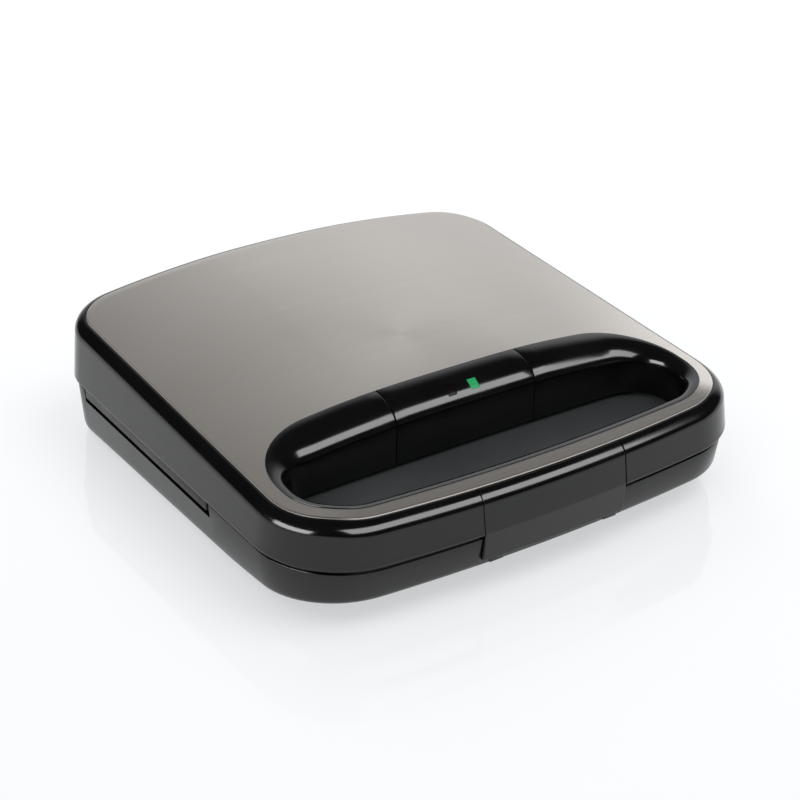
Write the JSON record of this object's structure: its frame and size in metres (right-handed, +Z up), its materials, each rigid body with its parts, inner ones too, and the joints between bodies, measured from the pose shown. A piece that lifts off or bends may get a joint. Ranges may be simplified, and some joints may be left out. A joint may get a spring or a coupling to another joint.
{
  "type": "sandwich toaster",
  "caption": "Hinged sandwich toaster with triangular-pocket plates, a brushed metal lid panel, a handle well with an indicator and a front latch clip.",
  "frame": {"origin": "on the table under the middle of the closed body", "axes": "+X to the right seen from the front, +Y to the hinge at the back, +Z up"},
  "size_m": [0.236, 0.234, 0.0664],
  "materials": {
    "lid_plastic": "gloss black",
    "base_plastic": "fine satin black",
    "frame_plastic": "satin black, heat-resistant",
    "panel_metal": "brushed warm grey",
    "plate_coating": "satin non-stick coating on die-cast metal",
    "heater_tube": "satin steel tube",
    "sheet_steel": "bright rolled sheet",
    "zinc_screw": "zinc plated",
    "pin_steel": "ground steel",
    "terminal_nylon": "off-white",
    "inlet_rubber": "matt black",
    "foot_rubber": "matt black",
    "sleeve_glass": "woven glass sleeve",
    "tag_brass": "plain brass",
    "window_green": "moulded green lens, glossy",
    "window_red": "moulded red lens, glossy",
    "board_green": "resin board",
    "lamp_glass": "clear neon lamp",
    "thermostat_ceramic": "ceramic body",
    "fuse_body": "thermal fuse case"
  },
  "bodies": {
    "base": {"base_shell": "base_plastic", "base_frame": "frame_plastic", "lower_plate": "plate_coating", "lower_element": "heater_tube", "lower_element_clips": "sheet_steel", "lower_reflector": "sheet_steel", "lower_plate_screws": "zinc_screw", "terminal_block": "terminal_nylon", "cord_inlet": "inlet_rubber", "base_screws": "zinc_screw", "front_feet": "foot_rubber", "rear_feet": "foot_rubber", "hinge_pins": "pin_steel", "base_harness": "sleeve_glass", "earth_tag": "tag_brass"},
    "lid": {"lid_shell": "lid_plastic", "lid_panel": "panel_metal", "lid_frame": "frame_plastic", "well_bezel": "lid_plastic", "well_cover": "lid_plastic", "green_window": "window_green", "red_window": "window_red", "lamp_board": "board_green", "lamps": "lamp_glass", "upper_plate": "plate_coating", "upper_element": "heater_tube", "upper_element_clips": "sheet_steel", "upper_reflector": "sheet_steel", "upper_plate_screws": "zinc_screw", "thermostat": "thermostat_ceramic", "thermal_fuse": "fuse_body", "lid_harness": "sleeve_glass", "lid_screws": "zinc_screw", "latch_pin": "pin_steel", "latch_spring": "pin_steel"},
    "latch": {"latch_clip": "lid_plastic"}
  },
  "joints": [
    {"name": "lid_hinge", "type": "hinge", "parent": "base", "child": "lid", "pos_m": [0, 0.104, 0.019], "axis": [-1, 0, 0], "range_deg": [0, 95]},
    {"name": "latch_pivot", "type": "hinge", "parent": "lid", "child": "latch", "pos_m": [0, -0.1112, 0.0402], "axis": [-1, 0, 0], "range_deg": [0, 12], "stiffness_Nm_per_rad": 0.02, "springref_deg": -11.46}
  ]
}
